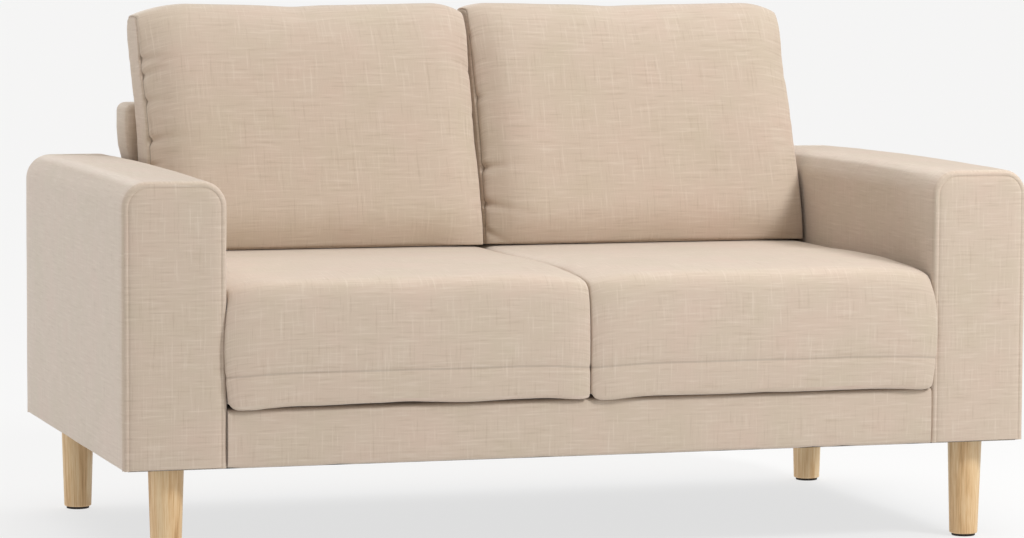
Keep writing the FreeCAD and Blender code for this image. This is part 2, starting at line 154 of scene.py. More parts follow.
def read_points(piece):
    """A piece's points and their normals as arrays."""
    count = len(piece.data.vertices)
    points = np.empty(count * 3)
    piece.data.vertices.foreach_get("co", points)
    normals = np.empty(count * 3, np.float32)
    piece.data.vertex_normals.foreach_get("vector", normals)
    return points.reshape(-1, 3), normals.reshape(-1, 3).astype(float)


def write_points(piece, points):
    """Puts moved points back into a piece."""
    piece.data.vertices.foreach_set("co", points.astype(np.float32).ravel())
    piece.data.update()


def soft_waves(points, size, seed):
    """A smooth, even-handed waviness from -1 to 1 whose lumps are about one size across."""
    shift = Vector((seed * 7.3, seed * 3.1, seed * 5.7))
    return np.array([noise.noise(Vector(p) / size + shift) for p in points])


def unevenness(points, waves):
    """Several soft waves together, each given as (size, seed, height)."""
    return sum(soft_waves(points, size, seed) * height for size, seed, height in waves)


def ease_in(values, start, end):
    """A smooth step from 0 at one value to 1 at another."""
    share = np.clip((values - start) / (end - start), 0, 1)
    return share * share * (3 - 2 * share)


def near(distance, reach):
    """1 at an edge, falling smoothly to 0 at a given distance from it."""
    return np.clip(1 - distance / reach, 0, 1) ** 2


def smooth_by_angle(piece, degrees):
    """Smooth shading that keeps edges sharper than an angle."""
    select_only(piece)
    bpy.ops.object.shade_smooth_by_angle(angle=math.radians(degrees))


# %% [markdown]
# ## Laying the cloth
# A woven cloth is flat before it is sewn, so each panel carries its own flat measure, in metres, in
# a UV map called weave. Front panels run left to right and up, side panels run front to back and
# up, and a panel that runs over a top keeps counting without a break.


# %% Cloth direction
def lay_cloth(piece, panels):
    """Writes the weave map. panels gives, for the points, a list of (u, v) arrays, and for the
    faces, which of them each face uses."""
    mesh = piece.data
    layer = mesh.uv_layers.get("weave") or mesh.uv_layers.new(name="weave")
    corners = np.empty(len(mesh.loops), np.int32)
    mesh.loops.foreach_get("vertex_index", corners)
    sides = np.empty(len(mesh.polygons), np.int32)
    mesh.polygons.foreach_get("loop_total", sides)
    maps, choice = panels
    per_corner = np.repeat(choice, sides)
    flat = np.empty((len(corners), 2))
    for index, (u, v) in enumerate(maps):
        used = per_corner == index
        flat[used, 0] = u[corners[used]]
        flat[used, 1] = v[corners[used]]
    layer.data.foreach_set("uv", flat.astype(np.float32).ravel())


def face_normals(piece):
    """The normals of a piece's faces."""
    normals = np.empty(len(piece.data.polygons) * 3, np.float32)
    piece.data.polygons.foreach_get("normal", normals)
    return normals.reshape(-1, 3)


def lay_cloth_on_block(piece, middle_x, roll=None):
    """Cloth on a block-shaped piece. Where the top edges are rolled over by a radius, one width of
    cloth goes up one side, over the top and down the other."""
    points, _ = read_points(piece)
    x, y, z = points.T
    normals = np.abs(face_normals(piece))
    front = normals[:, 1] > np.maximum(normals[:, 0], normals[:, 2])
    top = normals[:, 2] > np.maximum(normals[:, 0], normals[:, 1])
    if roll:
        tucked = roll * (1 - math.cos(math.radians(45)))
        turn = z.max() - tucked
        start = x.min() + tucked
        width = 2 * (middle_x - start)
        maps = [(x, z), (y, np.where(x < middle_x, z, 2 * turn + width - z)), (y, turn + x - start)]
    else:
        maps = [(x, z), (y, z), (x, y + z)]
    choice = np.where(front, 0, np.where(top, 2, 1))
    lay_cloth(piece, (maps, choice))


# %% [markdown]
# ## Materials
# One function adds a node with its settings and links. Colours are written as the sRGB hex values
# that a maker's chart gives, and one function turns them to the linear values that a shader needs.


# %% Node helpers
def linear(hex_colour):
    """An sRGB hex colour as linear RGBA."""
    channels = [int(hex_colour[i:i + 2], 16) / 255 for i in (1, 3, 5)]
    values = [c / 12.92 if c <= 0.04045 else ((c + 0.055) / 1.055) ** 2.4 for c in channels]
    return (*values, 1.0)


def new_material(name, roughness, metallic=0.0, sheen=0.0):
    """A material with its one shader; returns the material, its nodes and the shader."""
    material = bpy.data.materials.new(name)
    material.use_nodes = True
    tree = material.node_tree
    tree.nodes.clear()
    output = tree.nodes.new("ShaderNodeOutputMaterial")
    shader = tree.nodes.new("ShaderNodeBsdfPrincipled")
    shader.inputs["Roughness"].default_value = roughness
    shader.inputs["Metallic"].default_value = metallic
    shader.inputs["Sheen Weight"].default_value = sheen
    tree.links.new(shader.outputs["BSDF"], output.inputs["Surface"])
    return material, tree, shader


def add_node(tree, kind, links=None, values=None, stops=(), **settings):
    """Adds a node, sets it up, and links outputs of other nodes into its inputs. stops are the
    (position, colour) pairs of a node that has a colour ramp."""
    node = tree.nodes.new(kind)
    for name, value in settings.items():
        setattr(node, name, value)
    for key, value in (values or {}).items():
        node.inputs[key].default_value = value
    for key, source in (links or {}).items():
        tree.links.new(source, node.inputs[key])
    for _ in stops[2:]:
        node.color_ramp.elements.new(0.5)
    for index, (position, colour) in enumerate(stops):
        node.color_ramp.elements[index].position = position
        node.color_ramp.elements[index].color = colour
    return node


def grey(value):
    """A neutral colour for a ramp stop."""
    return (value, value, value, 1.0)


# %% [markdown]
# ## The linen-look weave
# The covers are a plain weave of slubbed yarn: thick places in the yarn show as short light
# streaks, most of them lying across the cloth and some up it. The threads are about 0.9 mm apart,
# too fine to show here, so they are drawn 2.4 mm apart. The cloth is matte with a faint sheen. A
# seam is a thin dark line with the cloth dipping into it.

# %% Linen weave
THREAD_SPACING = 2.4 * MM
SLUB_LENGTH = 52 * MM
SLUB_THICKNESS = 3.5 * MM
TINT_SIZE = 1 / 9.0
WAVE_BANDS = 20 / (2 * math.pi)  # bands per metre that a wave texture draws at a scale of 1
SEAM_DARKEST = 0.06
SEAM_CLEAR = 0.22
CLOTH_TONE = "#C8B7A6"
CLOTH_LIGHT = "#D8CABB"
CLOTH_DARK = "#B3A08D"
CLOTH_WARM = "#CAB6A6"
CLOTH_COOL = "#C5B6A3"


def linen_weave(name, has_seams):
    """Slubbed plain weave that follows each panel's own flat measure."""
    material, tree, shader = new_material(name, roughness=0.92, sheen=0.45)
    shader.inputs["Sheen Roughness"].default_value = 0.45
    shader.inputs["Specular IOR Level"].default_value = 0.25
    flat = add_node(tree, "ShaderNodeUVMap", uv_map="weave").outputs["UV"]
    long_rate = 1 / SLUB_LENGTH
    thin_rate = 1 / SLUB_THICKNESS
    slubs = []
    for rates, shift in (((long_rate, thin_rate, 1), (0, 0, 0)),
                         ((thin_rate, long_rate * 0.8, 1), (3.1, 7.7, 0))):
        place = add_node(tree, "ShaderNodeMapping", {"Vector": flat},
                         {"Scale": rates, "Location": shift})
        yarn = add_node(tree, "ShaderNodeTexNoise", {"Vector": place.outputs["Vector"]},
                        {"Scale": 1.0, "Detail": 2.0, "Roughness": 0.6})
        slubs.append(yarn.outputs["Fac"])
    weft, warp = slubs
    broad = add_node(tree, "ShaderNodeTexNoise", {"Vector": flat},
                     {"Scale": 1 / TINT_SIZE, "Detail": 3.0, "Roughness": 0.55})
    tint = add_node(tree, "ShaderNodeValToRGB", {"Fac": broad.outputs["Fac"]},
                    stops=[(0.30, linear(CLOTH_COOL)), (0.5, linear(CLOTH_TONE)),
                           (0.70, linear(CLOTH_WARM))])
    colour = tint.outputs["Color"]
    for slub, tone, stops in ((weft, CLOTH_DARK, [(0.28, grey(0.42)), (0.44, grey(0.0))]),
                              (warp, CLOTH_DARK, [(0.28, grey(0.4)), (0.40, grey(0.0))]),
                              (weft, CLOTH_LIGHT, [(0.54, grey(0.0)), (0.76, grey(0.55))]),
                              (warp, CLOTH_LIGHT, [(0.58, grey(0.0)), (0.74, grey(0.5))])):
        amount = add_node(tree, "ShaderNodeValToRGB", {"Fac": slub}, stops=stops)
        mixed = add_node(tree, "ShaderNodeMix", {"Factor": amount.outputs["Color"], "A": colour},
                         {"B": linear(tone)}, data_type="RGBA", blend_type="MIX")
        colour = mixed.outputs["Result"]
    threads = []
    for direction in ("X", "Y"):
        wave = add_node(tree, "ShaderNodeTexWave", {"Vector": flat},
                        {"Scale": 1 / THREAD_SPACING / WAVE_BANDS, "Distortion": 0.6,
                         "Detail": 1.0, "Detail Scale": 0.4},
                        wave_type="BANDS", bands_direction=direction, wave_profile="SIN")
        threads.append(wave.outputs["Fac"])
    woven = add_node(tree, "ShaderNodeMath", {0: threads[0], 1: threads[1]}, operation="MAXIMUM")
    raised = add_node(tree, "ShaderNodeMath", {0: weft, 1: warp}, operation="ADD")
    relief = add_node(tree, "ShaderNodeMath", {0: raised.outputs[0], 2: woven.outputs[0]},
                      {1: 1.4}, operation="MULTIPLY_ADD").outputs[0]
    if has_seams:
        loop = add_node(tree, "ShaderNodeAttribute", attribute_name="loop_seam").outputs["Fac"]
        line = add_node(tree, "ShaderNodeAttribute", attribute_name="base_seam").outputs["Fac"]
        for seam, depth in ((loop, 0.62), (line, 0.82)):
            away = add_node(tree, "ShaderNodeMath", {0: seam}, operation="ABSOLUTE").outputs[0]
            in_cm = add_node(tree, "ShaderNodeMath", {0: away}, {1: 100.0}, operation="MULTIPLY")
            shade = add_node(tree, "ShaderNodeValToRGB", {"Fac": in_cm.outputs[0]},
                             stops=[(SEAM_DARKEST, grey(depth)), (SEAM_CLEAR, grey(1.0))])
            mixed = add_node(tree, "ShaderNodeMix", {"A": colour, "B": shade.outputs["Color"]},
                             {"Factor": 1.0}, data_type="RGBA", blend_type="MULTIPLY")
            colour = mixed.outputs["Result"]
    bump = add_node(tree, "ShaderNodeBump", {"Height": relief},
                    {"Strength": 0.13, "Distance": 0.6 * MM})
    tree.links.new(colour, shader.inputs["Base Color"])
    tree.links.new(bump.outputs["Normal"], shader.inputs["Normal"])
    return material


cloth = linen_weave("slubbed_linen_weave", has_seams=False)
sewn_cloth = linen_weave("slubbed_linen_weave_sewn", has_seams=True)
print("cloth threads drawn", THREAD_SPACING / MM, "mm apart")

# %% [markdown]
# ## Oak, timber, board, foam, steel and felt
# The legs are turned pale oak with an open, upright grain under a clear matt oil. The hidden frame
# is pine with brown fibreboard panels, and the rest is what an upholsterer buys: cream foam, grey
# felt, black spun cloth, dark elastic webbing, zinc-plated bolts and oil-tempered spring wire.

# %% Oak legs
GRAIN_WIDTH = 1.8 * MM
GRAIN_LENGTH = 90 * MM
RING_RATE = (46, 46, 3.4)
KNOT_RATE = (9, 9, 7)


def grained_wood(name, pale, mid, dark, roughness, knots):
    """Wood with fine fibres and broad rings that run up the piece."""
    material, tree, shader = new_material(name, roughness=roughness)
    shader.inputs["Specular IOR Level"].default_value = 0.4
    place = add_node(tree, "ShaderNodeTexCoord").outputs["Object"]
    fibre_place = add_node(tree, "ShaderNodeMapping", {"Vector": place},
                           {"Scale": (1 / GRAIN_WIDTH, 1 / GRAIN_WIDTH, 1 / GRAIN_LENGTH)})
    ring_place = add_node(tree, "ShaderNodeMapping", {"Vector": place}, {"Scale": RING_RATE})
    fibres = add_node(tree, "ShaderNodeTexNoise", {"Vector": fibre_place.outputs["Vector"]},
                      {"Scale": 1.0, "Detail": 4.0, "Roughness": 0.65}).outputs["Fac"]
    rings = add_node(tree, "ShaderNodeTexNoise", {"Vector": ring_place.outputs["Vector"]},
                     {"Scale": 1.0, "Detail": 3.0, "Roughness": 0.5, "Distortion": 1.2})
    blend = add_node(tree, "ShaderNodeMath", {0: fibres, 2: rings.outputs["Fac"]}, {1: 0.7},
                     operation="MULTIPLY_ADD")
    tone = add_node(tree, "ShaderNodeValToRGB", {"Fac": blend.outputs[0]},
                    stops=[(0.55, linear(dark)), (0.78, linear(mid)), (1.0, linear(pale))])
    colour = tone.outputs["Color"]
    if knots:
        knot_place = add_node(tree, "ShaderNodeMapping", {"Vector": place}, {"Scale": KNOT_RATE})
        spots = add_node(tree, "ShaderNodeTexVoronoi", {"Vector": knot_place.outputs["Vector"]},
                         {"Scale": 1.0})
        shade = add_node(tree, "ShaderNodeValToRGB", {"Fac": spots.outputs["Distance"]},
                         stops=[(0.05, grey(0.35)), (0.09, grey(1.0))])
        mixed = add_node(tree, "ShaderNodeMix", {"A": colour, "B": shade.outputs["Color"]},
                         {"Factor": 1.0}, data_type="RGBA", blend_type="MULTIPLY")
        colour = mixed.outputs["Result"]
    bump = add_node(tree, "ShaderNodeBump", {"Height": fibres},
                    {"Strength": 0.25, "Distance": 0.2 * MM})
    tree.links.new(colour, shader.inputs["Base Color"])
    tree.links.new(bump.outputs["Normal"], shader.inputs["Normal"])
    return material


def mottled(name, low, high, size, roughness, metallic=0.0, stretch=(1, 1, 1), relief=0.2):
    """A finish of two close tones broken up at one real size, with a matching fine relief."""
    material, tree, shader = new_material(name, roughness=roughness, metallic=metallic)
    place = add_node(tree, "ShaderNodeTexCoord").outputs["Object"]
    scaled = add_node(tree, "ShaderNodeMapping", {"Vector": place},
                      {"Scale": tuple(s / size for s in stretch)})
    spots = add_node(tree, "ShaderNodeTexNoise", {"Vector": scaled.outputs["Vector"]},
                     {"Scale": 1.0, "Detail": 3.0, "Roughness": 0.6}).outputs["Fac"]
    tone = add_node(tree, "ShaderNodeValToRGB", {"Fac": spots},
                    stops=[(0.35, linear(low)), (0.65, linear(high))])
    bump = add_node(tree, "ShaderNodeBump", {"Height": spots},
                    {"Strength": relief, "Distance": size / 3})
    tree.links.new(tone.outputs["Color"], shader.inputs["Base Color"])
    tree.links.new(bump.outputs["Normal"], shader.inputs["Normal"])
    return material


FINISHES = {
    "leg_wood": grained_wood("oiled_pale_oak", "#EACFA6", "#D9B485", "#AE8556", 0.5, True),
    "frame_timber": grained_wood("sawn_pine", "#E3C48F", "#D1AA70", "#A67B45", 0.75, False),
    "fibreboard": mottled("pressed_fibreboard", "#7C5B3B", "#8F6C48", 3 * MM, 0.85),
    "foam": mottled("cut_cream_foam", "#E9DFB8", "#F3ECCD", 2 * MM, 0.95),
    "felt": mottled("pressed_dark_felt", "#2B2622", "#3A342E", 1.5 * MM, 0.95),
    "felt_pad": mottled("grey_needled_felt", "#8B8985", "#A4A29C", 2.5 * MM, 0.95),
    "dust_cloth": mottled("black_spun_cloth", "#131313", "#1F1F1F", 1.6 * MM, 0.9),
    "elastic_webbing": mottled("woven_elastic_webbing", "#34312D", "#4A463F", 2 * MM, 0.85,
                               stretch=(1, 1, 3)),
    "zinc_steel": mottled("zinc_plated_steel", "#A9ABAA", "#C4C6C3", 6 * MM, 0.35, 1.0,
                          relief=0.05),
    "spring_steel": mottled("oil_tempered_spring_wire", "#3E3D3C", "#555351", 5 * MM, 0.4, 1.0,
                            relief=0.05),
    "linen_weave": cloth,
}
slots = {entry["node"]: entry["material_slot"] for entry in frame["record"]["subparts"]}
for node_name, node in frame["nodes"].items():
    node.data.materials.clear()
    node.data.materials.append(FINISHES[slots[node_name]])
print("finishes given to", len(slots), "nodes")

# %% [markdown]
# ## The two arms
# Each arm is a box frame with foam wrapped over it and a tight cover, so its faces are flat with a
# slight crown, its long top edges are rolled and its end edges are soft. The front panel is a
# separate piece of cloth. Its seam runs up one side, over the top and down the other, where the
# soft edge begins, and both its ends are tucked under the arm. An arm could be inflated like a
# cushion, but tight work over boards is better modelled by bevels and insets, with a little
# unevenness pushed in afterwards.

# %% Arms
ARM_ROLL = 38 * MM
ARM_EDGE = 8 * MM
ARM_HEM = 5 * MM
ARM_SLICE = 22 * MM
ARM_FULLNESS = 3.0 * MM
ARM_TOP_RISE = 3.5 * MM
FRONT_PANEL_STEPS = [(3 * MM, 0.8 * MM), (8 * MM, 0.8 * MM), (11 * MM, 0.5 * MM)]
REAR_PANEL_STEPS = [(4 * MM, 0.6 * MM)]
SEAM_WIDTH = 1.5 * MM
SEAM_DEPTH = 1.0 * MM


def sew_panel(piece, axis, value, crown_steps):
    """Sinks a seam round the flat panel at one end, then raises the panel inside it in steps."""
    pick(piece, "FACE", lambda points: all_at(points, axis, value))
    bpy.ops.mesh.inset(thickness=SEAM_WIDTH, depth=-SEAM_DEPTH)
    bpy.ops.mesh.inset(thickness=SEAM_WIDTH, depth=SEAM_DEPTH)
    for width, rise in crown_steps:
        bpy.ops.mesh.inset(thickness=width, depth=rise)
    bpy.ops.object.mode_set(mode="OBJECT")


def crown(t):
    """A smooth rise from 0 at both ends of a span to 1 in its middle."""
    return np.clip(1 - (2 * t - 1) ** 2, 0, 1)


def upholstered_arm(side_name):
    """One padded arm, front panel and all."""
    low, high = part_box("arm_" + side_name + "_cover")
    arm = add_block("arm_" + side_name + "_upholstery", low, high)

    def at_an_end(points):
        return all_at(points, 1, low.y) or all_at(points, 1, high.y)

    pick(arm, "EDGE", lambda p: all_at(p, 2, high.z) and not at_an_end(p))
    bevel_picked(ARM_ROLL, 10)
    pick(arm, "EDGE", at_an_end)
    bevel_picked(ARM_EDGE, 5)
    pick(arm, "EDGE", lambda p: all_at(p, 2, low.z) and abs(p[0].x - p[1].x) < 1e-6
         and abs(p[0].y - p[1].y) > ARM_EDGE * 3)
    bevel_picked(ARM_HEM, 3)
    sew_panel(arm, 1, low.y, FRONT_PANEL_STEPS)
    sew_panel(arm, 1, high.y, REAR_PANEL_STEPS)
    slice_piece(arm, 1, low.y + ARM_EDGE, high.y - ARM_EDGE, ARM_SLICE)
    slice_piece(arm, 2, low.z + ARM_EDGE, high.z - ARM_ROLL, ARM_SLICE)
    points, normals = read_points(arm)
    on_panels = (points[:, 1] < low.y + 3 * MM) | (points[:, 1] > high.y - 3 * MM)
    tucked = on_panels & (points[:, 2] < low.z + 16 * MM)
    points[:, 2] = np.where(tucked, low.z + (points[:, 2] - low.z) * 0.15, points[:, 2])
    middle_x = (low.x + high.x) / 2
    length = (points[:, 1] - low.y) / (high.y - low.y)
    height = (points[:, 2] - low.z) / (high.z - low.z)
    fullness = crown(np.clip(length, 0.02, 0.98)) * crown(np.clip(height * 0.9 + 0.05, 0, 1))
    outward = np.sign(points[:, 0] - middle_x)
    on_side = np.abs(normals[:, 0]) > 0.7
    inner = outward == -np.sign(middle_x)
    points[:, 0] += np.where(on_side & ~inner, outward * fullness * ARM_FULLNESS, 0)
    on_top = normals[:, 2] > 0.7
    points[:, 2] += np.where(on_top, crown(length) * ARM_TOP_RISE, 0)
    seed = 1 if side_name == "left" else 2
    uneven = unevenness(points, [(90 * MM, seed, 0.5 * MM), (34 * MM, 3, 0.2 * MM)])
    keep = np.where(np.abs(points[:, 1] - low.y) < 2 * MM, 0.5, 1.0)
    points += normals * ((uneven - 0.7 * MM) * keep)[:, None]
    write_points(arm, points)
    smooth_by_angle(arm, 50)
    lay_cloth_on_block(arm, middle_x, ARM_ROLL)
    arm.data.materials.append(cloth)
    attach(arm, "sofa_frame")
    prefix = "arm_" + side_name + "_"
    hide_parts(prefix + "cover", prefix + "front_panel", prefix + "padding")
    print(arm.name, len(arm.data.polygons), "faces")


for side_name in ("left", "right"):
    upholstered_arm(side_name)

# %% [markdown]
# ## The front rail
# A strip of foam and one width of cloth cover the board under the cushions. The cloth is drawn
# tight over the top edge and tacked underneath, so it only swells a little between the arms.

# %% Front rail
RAIL_EDGE = 5 * MM
RAIL_FULLNESS = 1.5 * MM
HEM_WAVE = 28 * MM
HEM_RISE = 2.2 * MM

low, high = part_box("front_rail_cover")
rail = add_block("front_rail_upholstery", low, high)
pick(rail, "EDGE", lambda p: all_at(p, 1, low.y) and (all_at(p, 2, low.z) or all_at(p, 2, high.z)))
bevel_picked(RAIL_EDGE, 5)
slice_piece(rail, 0, low.x, high.x, 24 * MM)
slice_piece(rail, 2, low.z + RAIL_EDGE, high.z - RAIL_EDGE, 12 * MM)
points, normals = read_points(rail)
height = (points[:, 2] - low.z) / (high.z - low.z)
facing = normals[:, 1] < -0.5
uneven = unevenness(points, [(110 * MM, 4, 0.7 * MM), (36 * MM, 5, 0.25 * MM)])
points[:, 1] += np.where(facing, -(crown(height) * RAIL_FULLNESS + uneven), 0)
hem = np.array([noise.noise(Vector((x / HEM_WAVE, 0, 8))) for x in points[:, 0]])
points[:, 2] += np.maximum(hem, 0) * HEM_RISE * near(points[:, 2] - low.z, 20 * MM)
write_points(rail, points)
smooth_by_angle(rail, 50)
lay_cloth_on_block(rail, 0.0)
rail.data.materials.append(cloth)
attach(rail, "sofa_frame")
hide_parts("front_rail_cover", "front_rail_padding")
print(rail.name, len(rail.data.polygons), "faces")

# %% [markdown]
# ## The back
# The low back frame stands between the arms. Its cover is pulled over foam at the front, the ends
# and the top, and a flat outside panel closes the rear with a seam all round. Its ends are squeezed
# between the arms and spread a little above them.

# %% Back
BACK_EDGE = 14 * MM
BACK_SPREAD = 9 * MM
BACK_SLICE = 28 * MM
OUTSIDE_PANEL_STEPS = [(4 * MM, 0.8 * MM), (14 * MM, 0.7 * MM)]

low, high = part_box("back_cover")
back = add_block("back_upholstery", low, high)
pick(back, "EDGE", lambda p: not all_at(p, 2, low.z))
bevel_picked(BACK_EDGE, 6)
sew_panel(back, 1, high.y, OUTSIDE_PANEL_STEPS)
slice_piece(back, 0, low.x + BACK_EDGE, high.x - BACK_EDGE, BACK_SLICE)
slice_piece(back, 2, low.z + BACK_EDGE, high.z - BACK_EDGE, BACK_SLICE)
points, normals = read_points(back)
uneven = unevenness(points, [(120 * MM, 6, 0.7 * MM), (40 * MM, 7, 0.25 * MM)])
points += normals * (uneven - 0.9 * MM)[:, None]
arm_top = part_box("arm_left_cover")[1].z
over_arms = ease_in(points[:, 2], arm_top - 8 * MM, arm_top + 24 * MM)
at_ends = ease_in(np.abs(points[:, 0]), high.x - 60 * MM, high.x - 4 * MM)
points[:, 0] += np.sign(points[:, 0]) * at_ends * over_arms * BACK_SPREAD
write_points(back, points)
smooth_by_angle(back, 50)
lay_cloth_on_block(back, 0.0)
back.data.materials.append(cloth)
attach(back, "sofa_frame")
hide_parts("back_cover", "outside_back_panel", "back_padding")
print(back.name, len(back.data.polygons), "faces")

# %% [markdown]
# ## The platform and the dust cover
# With the cushions out, a plain cloth platform shows over the springs. Underneath, black spun cloth
# is tacked flat. Both are sheets: they are cut to size, and the dust cover hangs a little in the
# middle.

# %% Platform and dust cover
SHEET_SLICE = 40 * MM


def stretched_sheet(name, node, sag, finish, waves):
    """A thin sheet in a node's place that hangs by a given depth in its middle."""
    low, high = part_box(node)
    sheet = add_block(name, low, high)
    slice_piece(sheet, 0, low.x, high.x, SHEET_SLICE)
    slice_piece(sheet, 1, low.y, high.y, SHEET_SLICE)
    points, _ = read_points(sheet)
    across = (points[:, 0] - low.x) / (high.x - low.x)
    deep = (points[:, 1] - low.y) / (high.y - low.y)
    hang = np.sqrt(crown(across)) * crown(deep)
    ripple = np.array([noise.noise(Vector((p[0], p[1], 0)) / (70 * MM)) for p in points])
    points[:, 2] -= hang * (sag + ripple * waves)
    write_points(sheet, points)
    smooth_by_angle(sheet, 50)
    lay_cloth_on_block(sheet, 0.0)
    sheet.data.materials.append(finish)
    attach(sheet, "sofa_frame")
    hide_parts(node)


stretched_sheet("platform_cloth", "deck_fabric", 0.0, cloth, 0.0)
stretched_sheet("underside_cloth", "dust_cover", 3.0 * MM, FINISHES["dust_cloth"], 1.0 * MM)

# %% [markdown]
# ## The loose cushions
# A cushion is a sewn bag stuffed until it is tight: its faces crown, its seams hold the shape, and
# its sides pull in between the corners. It is made here the way it behaves. A rounded block is
# remeshed evenly, Blender's cloth solver blows it up against its own threads, and the swollen shape
# is drawn to its sewn size and pressed flat where it meets a neighbour. The seams are put in
# afterwards, from where each point lay on the block. The filling is a copy set in from the cover,
# and drawn in further wherever the seams and tucks come near it.

# %% Cushion tools
VOXEL = 7 * MM
PRESSURE = 4.0
SIM_FRAMES = 20
LARGEST_MOVE = 26 * MM
SEAM_DIP = 4.5 * MM
TUCK_WIDTH = 5 * MM
TUCK_END = 9 * MM
CORE_INSET = 7 * MM
CORE_GAP = 3 * MM


def remember_places(piece):
    """Stores where each point lies before the stuffing, so that seams can be found afterwards."""
    points, _ = read_points(piece)
    attribute = piece.data.attributes.new("sewn_place", "FLOAT_VECTOR", "POINT")
    attribute.data.foreach_set("vector", points.astype(np.float32).ravel())


def sewn_places(piece):
    """The remembered places as an array."""
    values = np.empty(len(piece.data.vertices) * 3, np.float32)
    piece.data.attributes["sewn_place"].data.foreach_get("vector", values)
    return values.reshape(-1, 3).astype(float)


# %% Stuffing
def remesh_evenly(piece, size):
    """Gives a piece an even skin of small square faces."""
    select_only(piece)
    modifier = piece.modifiers.new("even_skin", "REMESH")
    modifier.mode = "VOXEL"
    modifier.voxel_size = size
    bpy.ops.object.modifier_apply(modifier=modifier.name)


def even_out(piece, moves, rounds):
    """Averages each point's move with its neighbours', so that the broad swell is left."""
    pairs = np.empty(len(piece.data.edges) * 2, np.int32)
    piece.data.edges.foreach_get("vertices", pairs)
    one, other = pairs.reshape(-1, 2).T
    neighbours = np.bincount(pairs, minlength=len(moves))
    for _ in range(rounds):
        for axis in range(3):
            total = np.bincount(one, moves[other, axis], len(moves))
            total += np.bincount(other, moves[one, axis], len(moves))
            moves[:, axis] = 0.5 * moves[:, axis] + 0.5 * total / neighbours
    return moves


def stuff(piece, firmness, reach, rounds):
    """Blows a piece up with the cloth solver. firmness is how much of the swell it keeps, and reach
    is the furthest that any point may go."""
    before, _ = read_points(piece)
    select_only(piece)
    modifier = piece.modifiers.new("stuffing", "CLOTH")
    settings = modifier.settings
    settings.quality = 5
    settings.mass = 0.4
    settings.tension_stiffness = 15
    settings.compression_stiffness = 15
    settings.shear_stiffness = 5
    settings.bending_stiffness = 0.4
    settings.use_pressure = True
    settings.uniform_pressure_force = PRESSURE
    settings.effector_weights.gravity = 0
    modifier.collision_settings.use_collision = False
    modifier.point_cache.frame_start = 1
    modifier.point_cache.frame_end = SIM_FRAMES
    for step in range(1, SIM_FRAMES + 1):
        bpy.context.scene.frame_set(step)
    bpy.ops.object.modifier_apply(modifier=modifier.name)
    bpy.context.scene.frame_set(1)
    after, _ = read_points(piece)
    moves = even_out(piece, after - before, rounds) * firmness
    far = np.linalg.norm(moves, axis=1)
    limit = reach * np.tanh(far / reach)
    after = before + moves * (limit / np.maximum(far, 1e-9))[:, None]
    write_points(piece, after)
    print(piece.name, "points", len(after), "largest move", round(far.max() / MM, 1), "mm")


def refine(piece):
    """One round of subdivision, kept in the mesh."""
    select_only(piece)
    modifier = piece.modifiers.new("refine", "SUBSURF")
    modifier.levels = 1
    modifier.render_levels = 1
    bpy.ops.object.modifier_apply(modifier=modifier.name)


# %% Drawing to size
def soft_limit(values, low, high, ease_low, ease_high):
    """Presses values that pass a limit back to it, easing in over a short distance."""
    over = np.maximum(values - (high - ease_high), 0)
    under = np.maximum((low + ease_low) - values, 0)
    return (values - over + ease_high * np.tanh(over / ease_high)
            + under - ease_low * np.tanh(under / ease_low))


def draw_to_size(points, low, high, presses):
    """Stretches points evenly to a size, pressed flatter on each side. presses gives, for each
    direction, the depth and the ease in mm at its low side and at its high side."""
    for axis, (deep_low, ease_low, deep_high, ease_high) in enumerate(presses):
        least = points[:, axis].min()
        share = (points[:, axis] - least) / (points[:, axis].max() - least)
        wide_low = low[axis] - deep_low * MM
        wide_high = high[axis] + deep_high * MM
        wide = wide_low + share * (wide_high - wide_low)
        points[:, axis] = soft_limit(wide, low[axis], high[axis], ease_low * MM, ease_high * MM)
    return points


def toward_end(x, low, high, end):
    """How far towards one end (-1 or 1) each point lies: 0 from the middle back, 1 at the end."""
    return np.maximum((x - (low + high) / 2) * end / (high - low) * 2, 0)


# %% The stuffed block
def round_edges(piece, width, weight_of):
    """Rounds every edge of a block at once, each by its own share of the width."""
    select_only(piece)
    corners = [v.co for v in piece.data.vertices]
    weights = [weight_of([corners[i] for i in edge.vertices]) for edge in piece.data.edges]
    attribute = piece.data.attributes.new("bevel_weight_edge", "FLOAT", "EDGE")
    attribute.data.foreach_set("value", weights)
    modifier = piece.modifiers.new("rounding", "BEVEL")
    modifier.limit_method = "WEIGHT"
    modifier.width = width
    modifier.segments = 8
    modifier.use_clamp_overlap = False
    bpy.ops.object.modifier_apply(modifier=modifier.name)


def stuffed_block(name, low, high, rounding, shares, swell, firmness, rounds):
    """A stuffed block whose points remember their sewn places. Its long top edges are rounded
    fully, and the others by a share of that: the upright edges at its left end and at its right
    end, the top edges of its ends, and its base."""
    cushion = add_block(name, Vector(low) + Vector(swell), Vector(high) - Vector(swell))
    base = low[2] + swell[2]
    middle_x = (low[0] + high[0]) / 2
    left_upright, right_upright, end_top, base_share = shares

    def share_of(points):
        if all_at(points, 2, base):
            return base_share
        if abs(points[0].z - points[1].z) > 0.01:
            return left_upright if points[0].x < middle_x else right_upright
        return end_top if abs(points[0].y - points[1].y) > 0.01 else 1.0

    round_edges(cushion, rounding, share_of)
    remesh_evenly(cushion, VOXEL)
    remember_places(cushion)
    stuff(cushion, firmness, LARGEST_MOVE, rounds)
    return cushion


